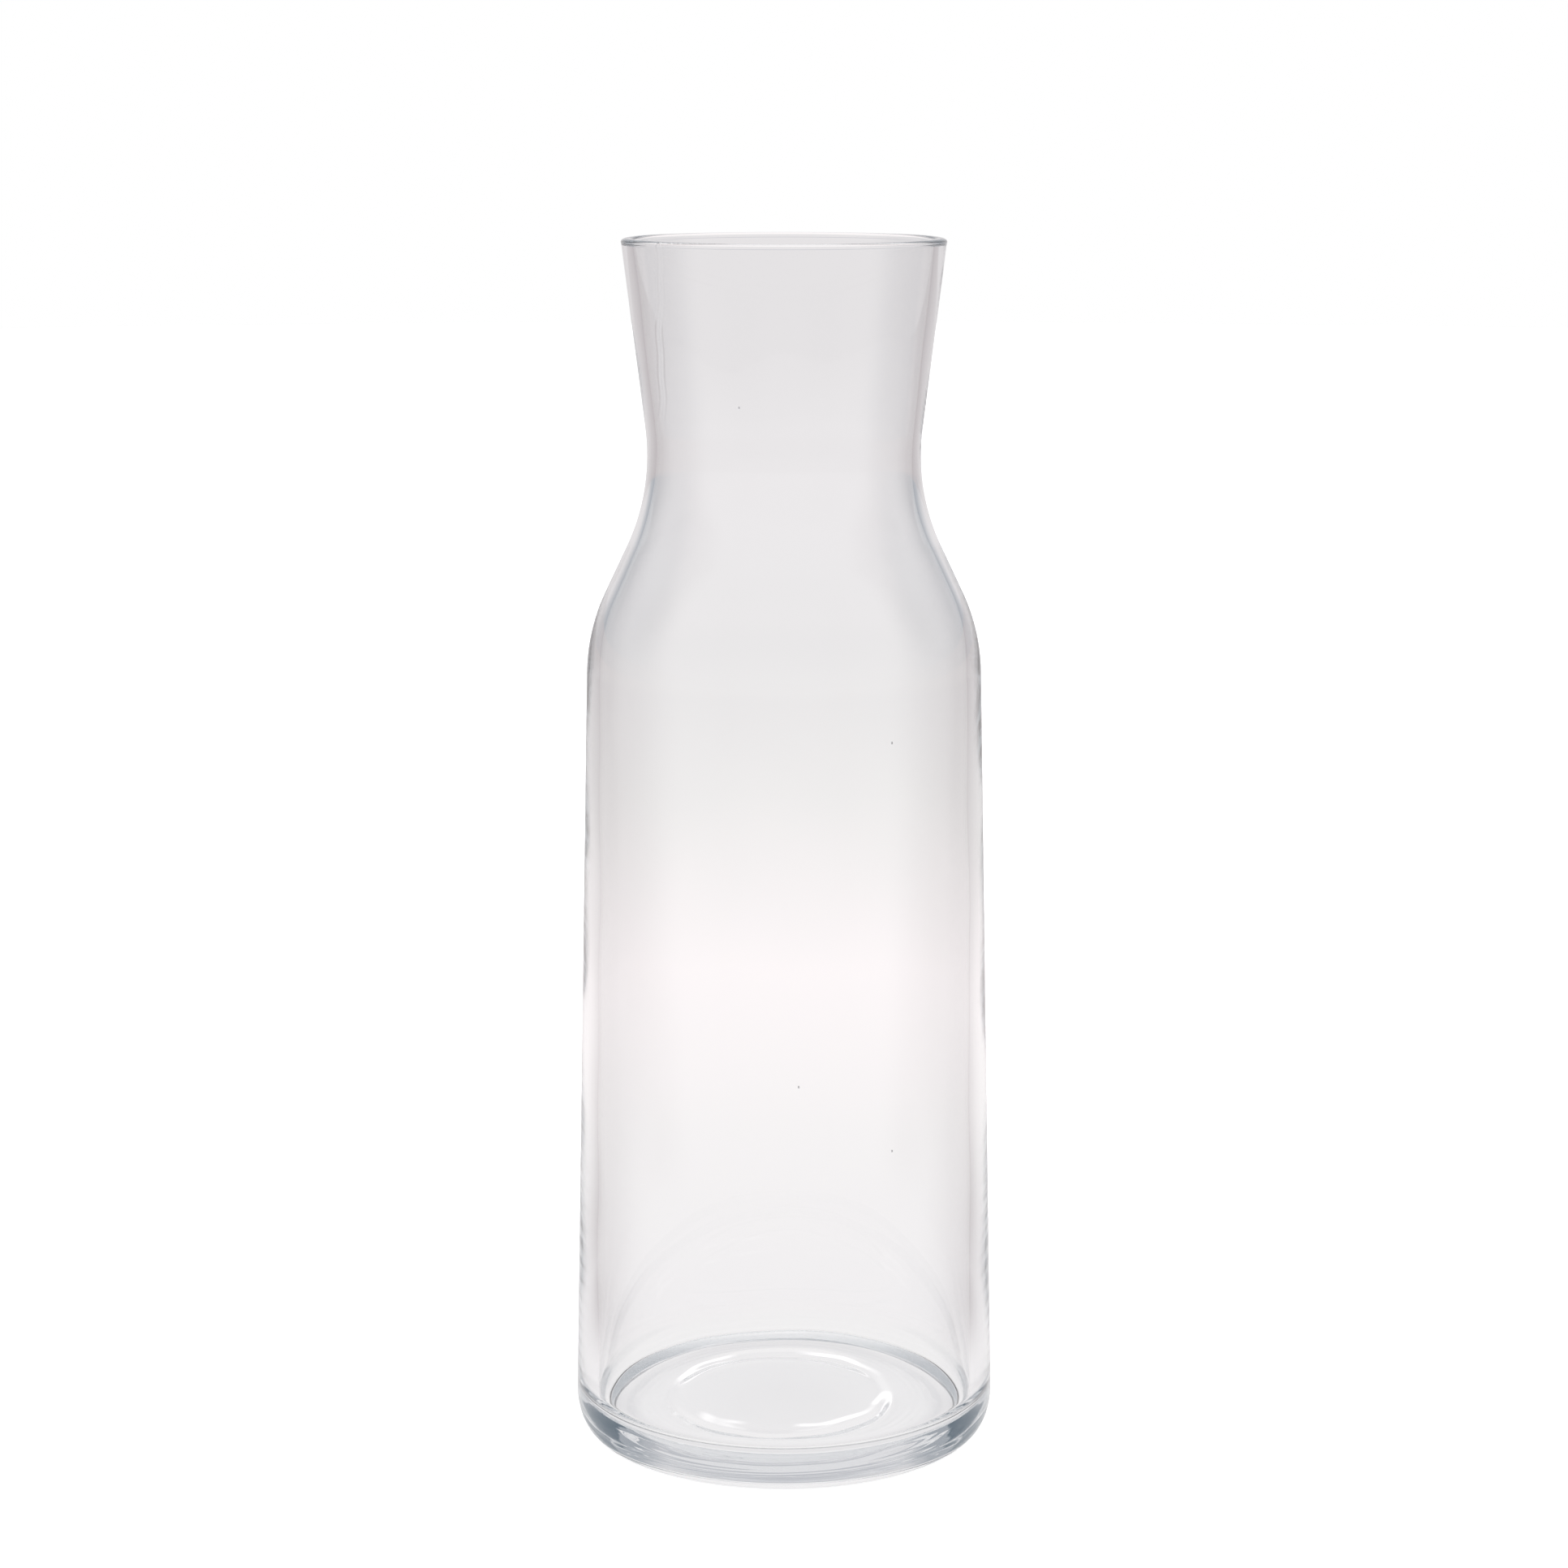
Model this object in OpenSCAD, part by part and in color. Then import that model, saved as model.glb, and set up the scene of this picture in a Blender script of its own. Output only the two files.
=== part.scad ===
// Water carafe: one piece of clear glass, turned about a vertical axis.
// Millimetres, +Z up. The origin is the centre of the ring that it stands on.
// It is drawn as the section of its wall, from the hollow underside out round
// the heel, up the outside, over the rim and down the inside to the floor.

/* [Body] */
// Overall height, from the table to the top of the rim
carafe_h = 268; // [200:1:360]
// Largest outer diameter, just above the heel
body_d = 95; // [84:0.5:110]
// Outer diameter where the lines of body and shoulder meet
shoulder_d = 86.6; // [80:0.1:96]
// Radius that rounds the body over into the shoulder
shoulder_round = 43; // [12:0.5:60]

/* [Neck and rim] */
// Outer diameter of the neck at its narrowest
waist_d = 59.8; // [50:0.1:64]
// Height from where body and shoulder meet up to the narrowest place
shoulder_h = 38.8; // [34:0.1:60]
// Height from the narrowest place up to the top of the rim
flare_h = 46.5; // [32:0.1:90]
// Radius of the hollow curve round the narrowest place
neck_round = 47; // [25:0.5:50]
// Outer diameter of the rim
rim_d = 70.4; // [65:0.1:84]
// How far the rounded bead on the rim stands proud of the wall, inside and out
bead_proud = 0.1; // [0:0.05:1]
// Height of the rounded bead on the rim
bead_h = 1.6; // [1.2:0.1:5]

/* [Glass] */
// Wall at the rim, just under the bead
rim_wall = 2.6; // [1.2:0.1:4]
// Wall at the narrowest place of the neck
waist_wall = 2.1; // [1.2:0.1:3.5]
// Wall at the shoulder
shoulder_wall = 2.9; // [1.5:0.1:4.5]
// Wall at the foot of the body
body_wall = 4.6; // [2.5:0.1:5.5]

/* [Base] */
// How far the heel draws in, from the body to the standing ring
heel_in = 3.5; // [2:0.1:5]
// Height over which the heel draws in
heel_h = 7.9; // [5:0.1:14]
// Width of the flat ring that the carafe stands on
ring_w = 0.5; // [0.3:0.1:4]
// Rounding between the standing ring and the side of the hollow
ring_round = 0.6; // [0.2:0.1:1.5]
// Height of the hollow under the floor
hollow_h = 1.9; // [1.2:0.1:3.5]
// Steepness of the side of the hollow, in degrees from level
hollow_steep = 72; // [40:1:75]
// Rounding between the side of the hollow and its ceiling
hollow_round = 0.6; // [0.2:0.1:1.5]
// Height of the inside floor above the table
floor_h = 5.6; // [4.5:0.1:12]
// Diameter at which the inside floor begins to curve up into the wall
floor_flat_d = 62.4; // [59:0.1:78]
// Height over which the inside floor curves up into the wall
floor_curve_h = 6; // [3:0.1:9]
// Fullness of that curve: 2 is a quarter of an ellipse, and more is squarer
floor_fullness = 2.3; // [1.8:0.1:3]
// Diameter of the flat top of the raised middle of the floor
dome_top_d = 46; // [20:0.5:50]
// Diameter where the raised middle of the floor begins
dome_foot_d = 58; // [52:0.5:60]
// Height of the raised middle above the floor round it
dome_h = 0.3; // [0:0.1:2]

/* [Hidden] */
// Facets round the axis, and steps along each curve of the section
$fn = 192;
wide_steps = 16;
small_steps = 10;

// Places on the section are [radius, height]
foot = [body_d / 2 - heel_in, 0];
low_outside = [body_d / 2, heel_h];
waist_outside = [waist_d / 2, carafe_h - flare_h];
corner_outside = [shoulder_d / 2, waist_outside[1] - shoulder_h];
// The bead is centred on the wall, which runs into its underside
bead_w = rim_wall + 2 * bead_proud;
bead_centre = [rim_d / 2 - bead_w / 2, carafe_h - bead_h / 2];
bead_tuck = acos(rim_wall / bead_w);
mouth_drop = [0, -bead_h / 2 * sin(bead_tuck)];
mouth_outside = bead_centre + mouth_drop + [rim_wall / 2, 0];
mouth_inside = bead_centre + mouth_drop - [rim_wall / 2, 0];
low_inside = [body_d / 2 - body_wall, floor_h + floor_curve_h];
corner_inside = corner_outside - [shoulder_wall, 0];
waist_inside = waist_outside - [waist_wall, 0];
// The side of the hollow runs straight between its two roundings
ring_inside = foot[0] - ring_w;
both_rounds = ring_round + hollow_round;
side_drop = hollow_h - both_rounds * (1 - cos(hollow_steep));
side_run = both_rounds * sin(hollow_steep) + side_drop / tan(hollow_steep);
ceiling_r = ring_inside - side_run;

// Numbers from a to b in even steps
function span(a, b, steps) = [for (i = [0 : steps]) a + (b - a) * i / steps];

// Points on an ellipse round a centre; half is its half width and half height
function oval(centre, half, a, b, steps) =
    [for (t = span(a, b, steps)) centre + [half[0] * cos(t), half[1] * sin(t)]];

// Points on a circle round a centre
function arc(centre, r, a, b, steps) = oval(centre, [r, r], a, b, steps);

// Lean from the vertical of the line from a to b
function lean(a, b) = atan2(a[0] - b[0], b[1] - a[1]);

// Lean from the vertical of the line from a point that just touches a circle
function touching(point, centre, r) =
    atan2(abs(centre[1] - point[1]), centre[0] - point[0]) - acos(r / norm(centre - point));

// One face of the wall, from the rounding of the shoulder to the end of the
// hollow neck curve; straight lines to low and to mouth touch its two ends
function flank(low, corner, waist, mouth, shoulder_r, neck_r) =
    let (
        neck_centre = waist + [neck_r, 0],
        body_lean = lean(low, corner),
        shoulder_lean = touching(corner, neck_centre, neck_r),
        flare_lean = touching(mouth, neck_centre, neck_r),
        half_turn = (shoulder_lean - body_lean) / 2,
        middle = (shoulder_lean + body_lean) / 2,
        shoulder_centre = corner - shoulder_r / cos(half_turn) * [cos(middle), sin(middle)]
    )
    concat(
        arc(shoulder_centre, shoulder_r, body_lean, shoulder_lean, wide_steps),
        arc(neck_centre, neck_r, 180 + shoulder_lean, 180 - flare_lean, wide_steps)
    );

// The same points in the other order
function backwards(points) = [for (i = [len(points) - 1 : -1 : 0]) points[i]];

// Underside, from the axis out over the ceiling of the hollow and down to the ring
underside = concat(
    [[0, hollow_h]],
    arc([ceiling_r, hollow_h - hollow_round], hollow_round, 90, 90 - hollow_steep, small_steps),
    arc([ring_inside, ring_round], ring_round, 270 - hollow_steep, 270, small_steps)
);

// Heel, from the standing ring up to the widest place
heel = oval([foot[0], heel_h], [heel_in, heel_h], -90, lean(low_outside, corner_outside), small_steps);

outside = flank(low_outside, corner_outside, waist_outside, mouth_outside, shoulder_round, neck_round);

bead = oval(bead_centre, [bead_w / 2, bead_h / 2], -bead_tuck, 180 + bead_tuck, wide_steps);

inside = flank(low_inside, corner_inside, waist_inside, mouth_inside,
    shoulder_round - shoulder_wall, neck_round + waist_wall);

// Curve at the foot of the inside wall, down to the floor
floor_flat_r = floor_flat_d / 2;
floor_curve = [for (t = span(0, 90, wide_steps))
    [floor_flat_r + (low_inside[0] - floor_flat_r) * pow(cos(t), 2 / floor_fullness),
     low_inside[1] - floor_curve_h * pow(sin(t), 2 / floor_fullness)]];

// Floor, from the start of its raised middle in to the axis, with a soft rise between
floor_rise = [for (t = span(0, 1, small_steps))
    [dome_foot_d / 2 + (dome_top_d - dome_foot_d) / 2 * t, floor_h + dome_h * (1 - cos(180 * t)) / 2]];
floor_middle = [[0, floor_h + dome_h]];

wall_section = concat(underside, heel, outside, bead, backwards(inside), floor_curve, floor_rise,
    floor_middle);

module glass_body() {
    color([0.86, 0.9, 0.91, 0.45])
    rotate_extrude()
    polygon(wall_section);
}

glass_body();
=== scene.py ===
import math

import bmesh
import bpy
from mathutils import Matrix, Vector


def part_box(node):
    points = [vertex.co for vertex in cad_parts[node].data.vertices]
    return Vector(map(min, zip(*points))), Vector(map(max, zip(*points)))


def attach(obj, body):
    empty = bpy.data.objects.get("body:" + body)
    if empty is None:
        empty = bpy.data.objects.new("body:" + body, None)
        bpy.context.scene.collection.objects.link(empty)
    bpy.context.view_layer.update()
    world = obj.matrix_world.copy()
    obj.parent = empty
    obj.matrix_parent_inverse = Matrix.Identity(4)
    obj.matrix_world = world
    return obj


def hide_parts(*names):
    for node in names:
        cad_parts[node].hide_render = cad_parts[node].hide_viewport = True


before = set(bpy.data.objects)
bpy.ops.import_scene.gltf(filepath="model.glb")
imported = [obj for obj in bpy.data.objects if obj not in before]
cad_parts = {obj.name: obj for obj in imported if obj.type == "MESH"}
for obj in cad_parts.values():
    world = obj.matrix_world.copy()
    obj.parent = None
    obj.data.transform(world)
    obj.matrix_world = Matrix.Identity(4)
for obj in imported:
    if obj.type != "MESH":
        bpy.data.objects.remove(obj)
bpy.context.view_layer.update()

# The glass: one gather of clear soda-lime glass, pressed and blown in a turned mould.
# Its wall is thick at the foot and thin at the neck, and the rim is melted to a round bead
# by a flame. Everything is measured up from the ring that it stands on.
MM = 0.001
glass_low, glass_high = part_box("glass_body")
carafe_height = glass_high[2] - glass_low[2]
body_radius = 47.5 * MM
shoulder_radius = 43.3 * MM
waist_radius = 29.9 * MM
rim_radius = 35.2 * MM
waist_height = carafe_height - 46.5 * MM
shoulder_height = waist_height - 38.8 * MM
shoulder_rounding = 43 * MM
neck_rounding = 47 * MM
rim_wall = 2.6 * MM
waist_wall = 2.1 * MM
shoulder_wall = 2.9 * MM
body_wall = 4.6 * MM
bead_proud = 0.1 * MM
bead_height = 1.6 * MM
heel_draw = 3.5 * MM
heel_height = 7.9 * MM
ring_width = 0.5 * MM
ring_rounding = 0.6 * MM
hollow_height = 1.9 * MM
hollow_steepness = 72
hollow_rounding = 0.6 * MM
floor_height = 5.6 * MM
floor_flat_radius = 31.2 * MM
floor_curve_height = 6 * MM
floor_fullness = 2.3
dome_top_radius = 23 * MM
dome_foot_radius = 29 * MM
dome_height = 0.3 * MM
# Steps along each curve of the section, and round the axis
shoulder_steps = 14
neck_steps = 22
ceiling_round_steps = 14
ring_round_steps = 12
heel_steps = 24
bead_steps = 20
floor_curve_steps = 34
rise_steps = 10
turned_steps = 256
longest_outside = 4 * MM
longest_inside = 3 * MM


def span(start, end, steps):
    return [start + (end - start) * i / steps for i in range(steps + 1)]


def oval(centre, half, start, end, steps):
    """Points on an ellipse, from one angle in degrees to another."""
    angles = [math.radians(a) for a in span(start, end, steps)]
    return [(centre[0] + half[0] * math.cos(a), centre[1] + half[1] * math.sin(a)) for a in angles]


def lean(a, b):
    """Lean from the vertical, in degrees, of the line up from a to b."""
    return math.degrees(math.atan2(a[0] - b[0], b[1] - a[1]))


def touching(point, centre, radius):
    """Lean of the line from a point that just touches a circle."""
    across = centre[0] - point[0]
    along = abs(centre[1] - point[1])
    return math.degrees(math.atan2(along, across) - math.acos(radius / math.hypot(across, along)))


def flank(low, corner, waist, mouth, shoulder_r, neck_r):
    """One face of the wall: the shoulder's rounding and the hollow curve of the neck."""
    neck_centre = (waist[0] + neck_r, waist[1])
    body_lean = lean(low, corner)
    shoulder_lean = touching(corner, neck_centre, neck_r)
    flare_lean = touching(mouth, neck_centre, neck_r)
    halfway = math.radians((shoulder_lean + body_lean) / 2)
    reach = shoulder_r / math.cos(math.radians((shoulder_lean - body_lean) / 2))
    centre = (corner[0] - reach * math.cos(halfway), corner[1] - reach * math.sin(halfway))
    shoulder = oval(centre, (shoulder_r, shoulder_r), body_lean, shoulder_lean, shoulder_steps)
    neck = oval(neck_centre, (neck_r, neck_r), 180 + shoulder_lean, 180 - flare_lean, neck_steps)
    return shoulder + neck


def towards(a, b, share):
    """The point that lies a share of the way from a to b."""
    return (a[0] + (b[0] - a[0]) * share, a[1] + (b[1] - a[1]) * share)


def evenly(points, longest):
    """The same outline with its long straight stretches cut into steps."""
    out = [points[0]]
    for a, b in zip(points, points[1:]):
        pieces = max(1, math.ceil(math.dist(a, b) / longest))
        out += [towards(a, b, share) for share in span(0, 1, pieces)[1:]]
    return out


# The places where the lines of the section meet, each as its radius and height
foot_radius = body_radius - heel_draw
bead_width = rim_wall + 2 * bead_proud
bead_centre = (rim_radius - bead_width / 2, carafe_height - bead_height / 2)
bead_tuck = math.degrees(math.acos(rim_wall / bead_width))
mouth_height = bead_centre[1] - bead_height / 2 * math.sin(math.radians(bead_tuck))
low_outside = (body_radius, heel_height)
low_inside = (body_radius - body_wall, floor_height + floor_curve_height)
corner_outside = (shoulder_radius, shoulder_height)
corner_inside = (shoulder_radius - shoulder_wall, shoulder_height)
waist_outside = (waist_radius, waist_height)
waist_inside = (waist_radius - waist_wall, waist_height)
mouth_outside = (bead_centre[0] + rim_wall / 2, mouth_height)
mouth_inside = (bead_centre[0] - rim_wall / 2, mouth_height)

# Underside, from the axis out; its ceiling has many rings, which carry the mould's print
steep = math.radians(hollow_steepness)
both_roundings = hollow_rounding + ring_rounding
side_drop = hollow_height - both_roundings * (1 - math.cos(steep))
ring_inner_radius = foot_radius - ring_width
ceiling_radius = ring_inner_radius - both_roundings * math.sin(steep) - side_drop / math.tan(steep)
ceiling_rings = [0, 10 * MM] + span(20.5 * MM, 39 * MM, 50)
underside = [(r, hollow_height) for r in ceiling_rings]
underside += oval((ceiling_radius, hollow_height - hollow_rounding), (hollow_rounding, hollow_rounding),
                  90, 90 - hollow_steepness, ceiling_round_steps)
underside += oval((ring_inner_radius, ring_rounding), (ring_rounding, ring_rounding),
                  270 - hollow_steepness, 270, ring_round_steps)
underside += [(foot_radius, 0)]
heel = oval((foot_radius, heel_height), (heel_draw, heel_height), -90,
            lean(low_outside, corner_outside), heel_steps)
outside = flank(low_outside, corner_outside, waist_outside, mouth_outside,
                shoulder_rounding, neck_rounding)
bead = oval(bead_centre, (bead_width / 2, bead_height / 2), -bead_tuck, 180 + bead_tuck, bead_steps)
inside = flank(low_inside, corner_inside, waist_inside, mouth_inside,
               shoulder_rounding - shoulder_wall, neck_rounding + waist_wall)
floor_curve_width = low_inside[0] - floor_flat_radius
floor_power = 2 / floor_fullness
floor_curve = [(floor_flat_radius + floor_curve_width * math.cos(t) ** floor_power,
                low_inside[1] - floor_curve_height * math.sin(t) ** floor_power)
               for t in span(0, math.pi / 2, floor_curve_steps)]
floor_rise = [(dome_foot_radius + (dome_top_radius - dome_foot_radius) * t,
               floor_height + dome_height * (1 - math.cos(math.pi * t)) / 2)
              for t in span(0, 1, rise_steps)]
floor_middle = [(0, floor_height + dome_height)]

# A ring lies right beside the crease under the bead, so that its smooth shading stays sharp
beside_crease = 0.997
under_bead = [towards(outside[-1], bead[0], beside_crease)]
inside_bead = [towards(inside[-1], bead[-1], beside_crease)]
bead_top = bead_steps // 2
outer_line = evenly(underside + heel + outside + under_bead + bead[:bead_top], longest_outside)
inner_line = evenly(bead[bead_top:] + inside_bead + inside[::-1] + floor_curve + floor_rise
                    + floor_middle, longest_inside)
wall_line = outer_line + inner_line[1:]

pull_depth = 0.05 * MM


def pull(height, angle):
    """How far the inner face of blown glass strays from an even wall."""
    wave = 0.5 * math.sin(3 * angle + height * 60 + 0.7)
    wave += 0.35 * math.sin(5 * angle - height * 105 + 2.1)
    wave += 0.25 * math.sin(8 * angle + height * 190 + 4.0)
    return wave * pull_depth


# The baffle that closed the mould sat a little off the middle. It left a low seam on the
# underside, and ripples where the cold metal chilled the glass outside it.
baffle_radius = 24.6 * MM
baffle_offset = 1.3 * MM
seam_depth = 0.2 * MM
seam_width = 1.3 * MM
seam_least = 0.45
# Where the seam is stronger: bearing and width in degrees, and how much stronger
seam_swells = ((143, 22, 0.9), (55, 20, 0.9), (-8, 12, 0.7), (-53, 24, 1.0), (-122, 14, 0.7))
chill_depth = 0.012 * MM
chill_pitch = 1.9 * MM
chill_radius = 33 * MM
chill_width = 4 * MM


def bell(distance, width):
    """A smooth hump, 1 in the middle and next to nothing two widths away."""
    return math.exp(-(distance / width) ** 2)


def plate_print(x, y):
    """How far the seam round the mould's baffle, and the ripples outside it, stand down."""
    angle = math.atan2(y, x + baffle_offset)
    r = math.hypot(x + baffle_offset, y)
    strength = seam_least
    for bearing, width, swell in seam_swells:
        off = (angle - math.radians(bearing) + math.pi) % (2 * math.pi) - math.pi
        strength += swell * bell(off, math.radians(width))
    wander = baffle_radius + 0.2 * MM * math.sin(3 * angle) + 0.1 * MM * math.sin(11 * angle + 1)
    seam = seam_depth * bell(r - wander, seam_width) * strength
    chill = chill_depth * math.sin(2 * math.pi * r / chill_pitch + 0.6 * math.sin(4 * angle))
    chill *= bell(r - chill_radius, chill_width) * (0.7 + 0.3 * math.sin(3 * angle + 2.4))
    return seam + chill


glass_mesh = bpy.data.meshes.new("carafe_glass")
work = bmesh.new()
turns = [2 * math.pi * i / turned_steps for i in range(turned_steps)]
rings = []
for row, (radius, height) in enumerate(wall_line):
    if radius < 0.0001 * MM:
        rings.append([work.verts.new((0, 0, glass_low[2] + height))])
        continue
    ring = []
    for angle in turns:
        r = radius
        if row >= len(outer_line):
            r += pull(height, angle)
        x = r * math.cos(angle)
        y = r * math.sin(angle)
        down = plate_print(x, y) if row < len(ceiling_rings) else 0
        ring.append(work.verts.new((x, y, glass_low[2] + height - down)))
    rings.append(ring)
for a, b in zip(rings, rings[1:]):
    for i in range(turned_steps):
        j = (i + 1) % turned_steps
        if len(a) == 1:
            work.faces.new((a[0], b[j], b[i]))
        elif len(b) == 1:
            work.faces.new((a[i], a[j], b[0]))
        else:
            work.faces.new((a[i], a[j], b[j], b[i]))
bmesh.ops.recalc_face_normals(work, faces=work.faces[:])

# Seeds: small bubbles of air shut in the wall, drawn out upwards as the glass was blown.
# Each is a closed hole in the glass, so its faces point inwards. Given are its angle from the
# front in degrees, and its height, distance from the axis and radius in millimetres.
seeds = ((-18, 234, 30.0, 0.17), (32, 164, 42.4, 0.18), (4, 91, 44.3, 0.18), (31, 75, 44.6, 0.18))
seed_stretch = 1.7
for turned, height, out, size in seeds:
    angle = math.radians(turned)
    seed = bmesh.ops.create_icosphere(work, subdivisions=2, radius=size * MM)["verts"]
    for vert in seed:
        vert.co.z *= seed_stretch
        vert.co += Vector((out * math.sin(angle), -out * math.cos(angle), height)) * MM
        vert.co.z += glass_low[2]
    bmesh.ops.reverse_faces(work, faces=list({face for vert in seed for face in vert.link_faces}))
for face in work.faces:
    face.smooth = True
work.to_mesh(glass_mesh)
work.free()
carafe_glass = bpy.data.objects.new("carafe_glass", glass_mesh)
bpy.context.scene.collection.objects.link(carafe_glass)


class Wire:
    """A socket of a node tree; sums of wires add the Math nodes that work them out."""

    def __init__(self, tree, socket=None):
        self.tree = tree
        self.socket = socket

    def node(self, kind, settings=None, inputs=None, output=0):
        """A node of any kind: its settings first, then the values or wires of its sockets."""
        made = self.tree.nodes.new("ShaderNode" + kind)
        for name, value in (settings or {}).items():
            if name == "stops":
                ramp = made.color_ramp.elements
                for number, (place, colour) in enumerate(value):
                    stop = ramp[number] if number < 2 else ramp.new(place)
                    stop.position = place
                    stop.color = colour
            else:
                setattr(made, name, value)
        for name, value in (inputs or {}).items():
            if isinstance(value, Wire):
                self.tree.links.new(value.socket, made.inputs[name])
            else:
                made.inputs[name].default_value = value
        return Wire(self.tree, made.outputs[output] if made.outputs else None)

    def maths(self, operation, a, b=0.0):
        return self.node("Math", {"operation": operation}, {0: a, 1: b})

    def part(self, letter):
        """The X, Y or Z of a vector."""
        return self.node("SeparateXYZ", None, {0: self}, output=letter)

    def soft_step(self, start, end):
        """0 up to the start, 1 from the end on, and smooth between."""
        return self.node("MapRange", {"interpolation_type": "SMOOTHSTEP"}, {0: self, 1: start, 2: end})

    def ramp(self, stops):
        """A colour for each value of this wire; a stop with one number for its colour is grey."""
        full = []
        for place, colour in stops:
            red, green, blue = colour if isinstance(colour, tuple) else (colour, colour, colour)
            full.append((place, (red, green, blue, 1)))
        return self.node("ValToRGB", {"stops": full}, {"Fac": self})

    def blend(self, under, over):
        """One colour where this wire is 0, and the other where it is 1."""
        return self.node("Mix", {"data_type": "RGBA"}, {0: self, 6: under, 7: over}, output=2)

    def __add__(self, other):
        return self.maths("ADD", self, other)

    __radd__ = __add__

    def __sub__(self, other):
        return self.maths("SUBTRACT", self, other)

    def __rsub__(self, other):
        return self.maths("SUBTRACT", other, self)

    def __mul__(self, other):
        return self.maths("MULTIPLY", self, other)

    __rmul__ = __mul__

    def __truediv__(self, other):
        return self.maths("DIVIDE", self, other)

    def __abs__(self):
        return self.maths("ABSOLUTE", self)


def new_material(name):
    """A material with an empty tree, and the wire that starts it."""
    made = bpy.data.materials.new(name)
    made.use_nodes = True
    made.node_tree.nodes.clear()
    return made, Wire(made.node_tree)


clear_glass, wire = new_material("clear_glass")
where = wire.node("TexCoord", output="Object")
slow = wire.node("TexNoise", None, {"Vector": where, "Scale": 45.0, "Detail": 2.0})
uneven = wire.node("Bump", None, {"Height": slow, "Strength": 0.02, "Distance": 1 * MM})
# A cord, a thin thread of stiffer glass, runs down the left of the neck in front.
cord_left = 25.5 * MM
cord_half_width = 0.45 * MM
cord_proud = 0.03 * MM
above = where.part("Z")
waver = wire.maths("SINE", above * 260.0) * (0.25 * MM) + wire.maths("SINE", above * 610.0) * (0.12 * MM)
thread = abs(where.part("X") + cord_left + waver).soft_step(cord_half_width, 0.0)
front_wall = wire.node("MapRange", None, {0: where.part("Y"), 1: -2 * MM, 2: -5 * MM})
high_up = above.soft_step(228 * MM, 240 * MM)
corded = wire.node("Bump", None, {
    "Height": thread * front_wall * high_up, "Strength": 1.0, "Distance": cord_proud, "Normal": uneven})
skin = wire.node("BsdfPrincipled", None, {
    "Base Color": (1, 1, 1, 1), "Roughness": 0.0, "IOR": 1.52, "Transmission Weight": 1.0,
    "Normal": corded})
body = wire.node("VolumeAbsorption", None, {"Color": (0.935, 0.9425, 0.9475, 1), "Density": 40.0})
wire.node("OutputMaterial", None, {"Surface": skin, "Volume": body})
glass_mesh.materials.append(clear_glass)

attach(carafe_glass, "root")
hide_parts("glass_body")

# The studio floor: a plain white sheet of paper, out to 4 metres. The camera sees it as white.
# What the glass refracts of it is painted light and shade, not the paper's own colour: emitted
# greys that change with the distance from the carafe and with the angle from straight behind
# the carafe round to straight in front.
floor_reach = 4.0
floor_gap = 0.05 * MM
bpy.ops.mesh.primitive_circle_add(vertices=96, radius=floor_reach, fill_type="NGON",
                                  location=(0, 0, glass_low[2] - floor_gap))
studio_floor = bpy.context.active_object
studio_floor.name = "studio_floor"

floor_paint, wire = new_material("floor_paint")
eye = wire.node("LightPath", output="Is Camera Ray")
spot = wire.node("NewGeometry", output="Position")
away = wire.node("VectorMath", {"operation": "LENGTH"}, {0: spot}, output="Value")
# Painted light and shade: the floor's greys straight behind the carafe, by their distance in
# millimetres. The darker greys near the middle are painted shade under the carafe, the dark band
# from 37 to 41 mm is a painted contact shadow round the foot, and the peak near 400 mm is a
# painted band of brighter light.
first_tone = 10
tone_reach = 400.0
painted_floor_tones = [(10, (0.86, 0.85, 0.855)), (33, (0.90, 0.89, 0.895)), (37, (0.80, 0.79, 0.80)),
         (41, (0.80, 0.79, 0.80)), (45, (0.92, 0.91, 0.91)), (62, (0.92, 0.90, 0.905)),
         (80, (0.91, 0.89, 0.90)), (150, (0.925, 0.905, 0.91)), (216, (0.95, 0.93, 0.93)),
         (400, (1.035, 0.985, 0.99)), (680, (0.89, 0.875, 0.87)), (1000, (0.83, 0.815, 0.82)),
         (1500, (0.845, 0.825, 0.835)), (2600, (0.83, 0.81, 0.82)), (4000, (0.80, 0.78, 0.79))]
far = wire.maths("LOGARITHM", away / (first_tone * MM), tone_reach)
tone = far.ramp([(math.log(mm / first_tone, tone_reach), colour) for mm, colour in painted_floor_tones])
# Painted shade: the floor is painted darker to both sides, with more painted shade beside the
# foot, and painted light again in front of the carafe
around = wire.maths("ARCTAN2", abs(spot.part("X")), spot.part("Y")) * (180 / math.pi)
side_greys = ((0, 0), (8, 0), (11, 0.06), (14, 0.18), (17, 0.34), (39, 0.7), (60, 0.85), (80, 1))
far_shade = (around / 180).ramp([(degrees / 180, grey) for degrees, grey in side_greys])
near_shade = around.soft_step(30.0, 80.0)
distant = wire.node("MapRange", None, {0: far, 1: 0.6, 2: 0.83})
shade = far_shade * distant + near_shade * (1 - distant)
beyond = away.soft_step(60 * MM, 200 * MM)
shade_beside_foot = around.soft_step(45.0, 80.0) * away.soft_step(70 * MM, 130 * MM)
shade = wire.maths("MAXIMUM", shade * beyond, shade_beside_foot)
front_floor = around.soft_step(80.0, 110.0)
shade = shade * (1 - front_floor * 0.85)
tone = shade.blend(tone, (0.40, 0.36, 0.37, 1))
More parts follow.
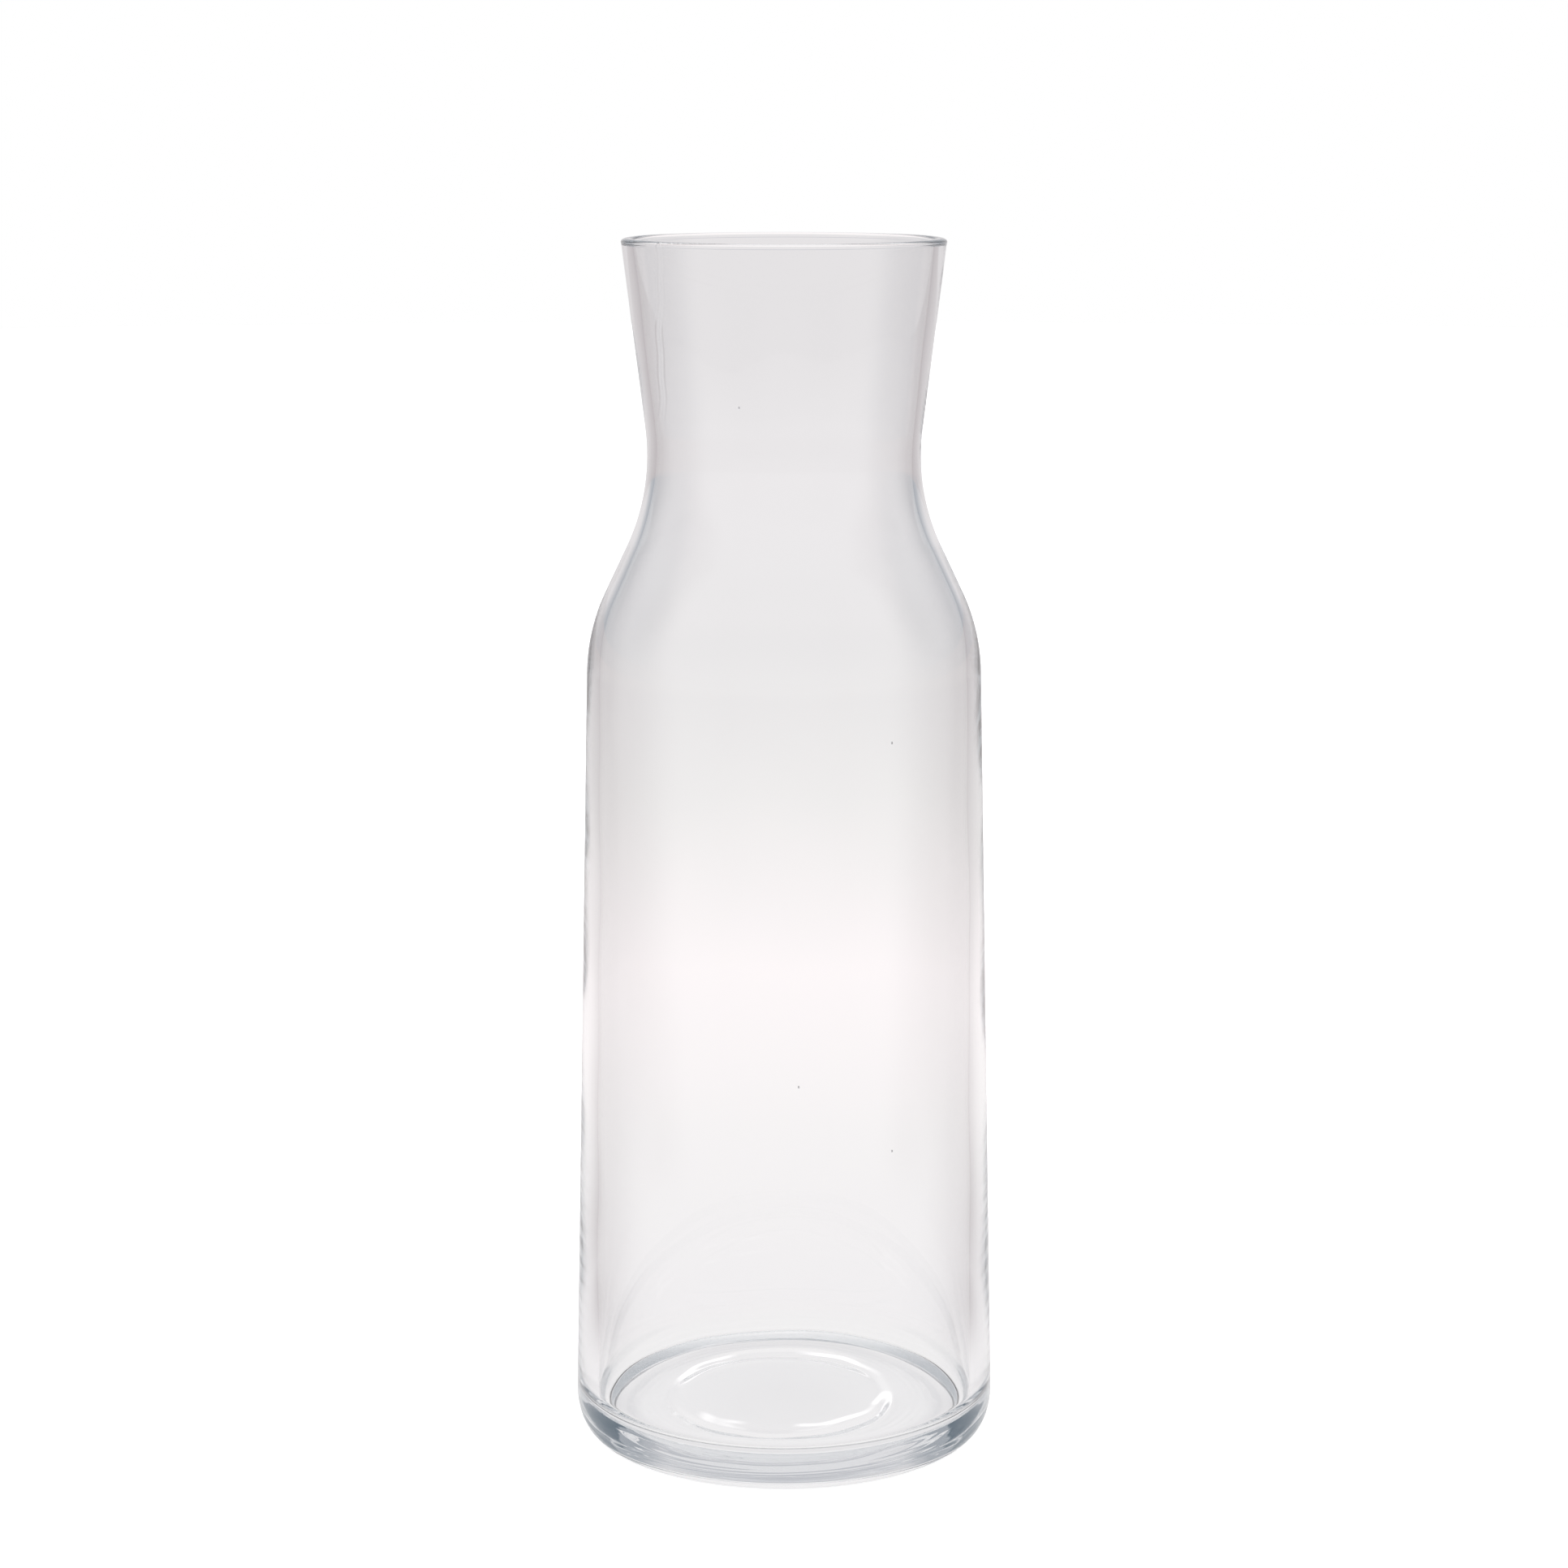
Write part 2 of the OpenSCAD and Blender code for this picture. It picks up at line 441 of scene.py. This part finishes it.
# Painted caustics: five curved streaks of painted light on the floor, where the seam under the
# base would gather light
streak_radius = 24.0 * MM
streak_edge = 1.5 * MM
streak_core = 0.1 * MM
painted_streak_light = (
    (0, 0), (0.105, 0), (0.128, 0.55), (0.15, 0.25), (0.174, 0.5), (0.2, 0), (0.265, 0), (0.285, 0.7),
    (0.305, 0.5), (0.33, 1), (0.38, 1), (0.405, 0.3), (0.425, 0.2), (0.437, 1), (0.47, 1), (0.49, 0.1),
    (0.55, 0.1), (0.6, 0.5), (0.625, 1), (0.685, 1), (0.705, 0.4), (0.73, 0.05), (0.82, 0.05),
    (0.85, 0.7), (0.87, 1), (0.95, 1), (0.972, 0.2), (1, 0))
offset = wire.node("VectorMath", {"operation": "SUBTRACT"}, {0: spot, 1: (-0.5 * MM, 8.6 * MM, 0)})
offset = wire.node("VectorMath", {"operation": "MULTIPLY"}, {0: offset, 1: (1, 1.08, 0)})
compass = wire.maths("ARCTAN2", offset.part("Y"), offset.part("X")) / (2 * math.pi) + 0.5
streak_ring = wire.node("VectorMath", {"operation": "LENGTH"}, {0: offset}, output="Value")
curl = wire.maths("SINE", compass * 75.0) * (0.3 * MM)
painted_streak = abs(streak_ring - streak_radius + curl).soft_step(streak_edge, streak_core)
tone = (compass.ramp(painted_streak_light) * painted_streak).blend(tone, (1.5, 1.48, 1.48, 1))
refracted = wire.node("Emission", None, {"Color": tone})
white = wire.node("BsdfDiffuse", None, {"Color": (0.8, 0.8, 0.8, 1)})
lift = wire.node("Emission", None, {"Color": (1, 1, 1, 1), "Strength": 0.72})
seen = wire.node("AddShader", None, {0: white, 1: lift})
paint = wire.node("MixShader", None, {0: eye, 1: refracted, 2: seen})
wire.node("OutputMaterial", None, {"Surface": paint})
studio_floor.data.materials.append(floor_paint)

# The tent: white paper all round, which the camera sees as plain white. The glass refracts
# and reflects its greys: soft ones by height behind the carafe, a darker card low at each
# side of that, a dusky edge beyond the card, and an even light grey in front.
tent = bpy.data.worlds.new("tent")
tent.use_nodes = True
tent.node_tree.nodes.clear()
bpy.context.scene.world = tent
wire = Wire(tent.node_tree)
eye = wire.node("LightPath", output="Is Camera Ray")
way = wire.node("TexCoord", output="Generated")
turn = wire.maths("ARCTAN2", abs(way.part("X")), way.part("Y")) * (180 / math.pi)
elevation = wire.maths("ARCSINE", way.part("Z")) / (math.pi / 2)
tall = elevation.ramp((
    (0.0, (0.79, 0.77, 0.78)), (0.04, (0.80, 0.78, 0.79)), (0.09, (0.74, 0.73, 0.75)),
    (0.14, (0.60, 0.60, 0.63)), (0.20, (0.62, 0.62, 0.65)), (0.25, (0.80, 0.79, 0.81)),
    (0.29, (0.97, 0.95, 0.96)), (0.37, (0.93, 0.91, 0.92)), (0.5, (0.90, 0.89, 0.89)),
    (0.67, (1.0, 0.99, 0.99)), (1.0, (1.05, 1.04, 1.04))))
low_card = elevation.ramp(((0.0, 0.85), (0.12, 1), (0.27, 1), (0.35, 0)))
dusk = elevation.ramp(((0.0, 0.3), (0.10, 0.45), (0.15, 1), (0.31, 1), (0.38, 0)))
beside_back = turn.soft_step(24.0, 36.0)
card_edge = turn.soft_step(43.0, 45.0)
front_side = turn.soft_step(80.0, 110.0)
glow = (low_card * beside_back).blend(tall, (0.36, 0.39, 0.43, 1))
glow = (dusk * card_edge).blend(glow, (0.05, 0.10, 0.145, 1))
glow = front_side.blend(glow, (0.86, 0.85, 0.86, 1))
sky = wire.node("Background", None, {"Color": glow})
paper = wire.node("Background", None, {"Color": (1, 1, 1, 1)})
shown = wire.node("MixShader", None, {0: eye, 1: sky, 2: paper})
wire.node("OutputWorld", None, {"Surface": shown})


# The lamps: two upright softboxes, left and right behind the carafe. The glass doesn't show
# them, since the greys above already hold their light.
def softbox(name, place, size, power):
    """A large soft lamp that faces the middle of the carafe."""
    light = bpy.data.lights.new(name, "AREA")
    light.shape = "RECTANGLE"
    light.size, light.size_y = size
    light.energy = power
    lamp = bpy.data.objects.new(name, light)
    lamp.location = place
    lamp.visible_glossy = False
    lamp.visible_transmission = False
    aim = Vector((0, 0, carafe_height / 2)) - Vector(place)
    lamp.rotation_euler = aim.to_track_quat("-Z", "Y").to_euler()
    bpy.context.scene.collection.objects.link(lamp)


softbox("left_softbox", (-1.5, 0.9, 1.6), (0.6, 1.2), 12)
softbox("right_softbox", (1.5, 0.9, 1.6), (0.6, 1.2), 12)

# The camera: a short telephoto lens, a little above the rim, that looks slightly down.
camera_distance = 748.7 * MM
camera_height = 296.6 * MM
camera_tilt = 11.23
camera_data = bpy.data.cameras.new("camera")
camera_data.lens = 78.81
camera_data.sensor_width = 36.0
camera_data.clip_start = 10 * MM
camera = bpy.data.objects.new("camera", camera_data)
camera.location = (0, -camera_distance, camera_height)
camera.rotation_euler = (math.radians(90 - camera_tilt), 0, 0)
bpy.context.scene.collection.objects.link(camera)
bpy.context.scene.camera = camera

# Light that grazes the thick base is thrown on inside it many times before it comes out
glass_bounces = 96
scene = bpy.context.scene
scene.view_settings.view_transform = "Standard"
scene.cycles.max_bounces = glass_bounces
scene.cycles.transmission_bounces = glass_bounces
scene.cycles.glossy_bounces = glass_bounces
